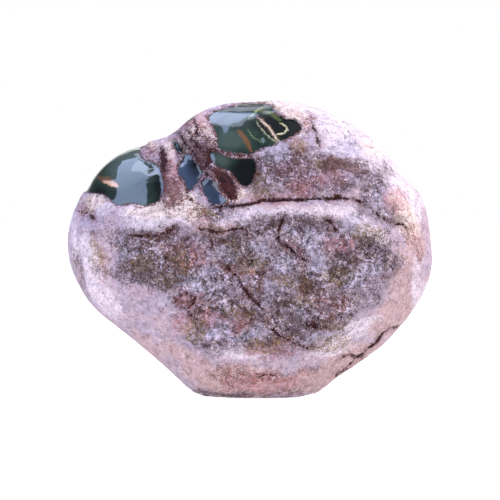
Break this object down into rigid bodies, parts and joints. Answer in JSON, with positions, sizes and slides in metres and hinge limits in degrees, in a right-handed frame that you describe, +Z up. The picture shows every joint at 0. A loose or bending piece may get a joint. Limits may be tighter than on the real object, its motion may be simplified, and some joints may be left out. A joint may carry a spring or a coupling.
{
  "type": "raw jade boulder",
  "caption": "Weathered raw jade boulder with polished jade windows in its pink and lavender rind, standing on a small flat foot.",
  "frame": {"origin": "on the level of the flat foot, under the middle of the boulder's bounding box", "axes": "+Z up; the broad front face with the polished windows looks towards -Y, and +X runs to the right of that face"},
  "size_m": [0.2002, 0.1112, 0.1589],
  "materials": {
    "jade_stone": "weathered pink and lavender rind, waxed to a soft gloss, with polished dark green jade windows"
  },
  "bodies": {
    "root": {"boulder": "jade_stone"}
  },
  "joints": []
}
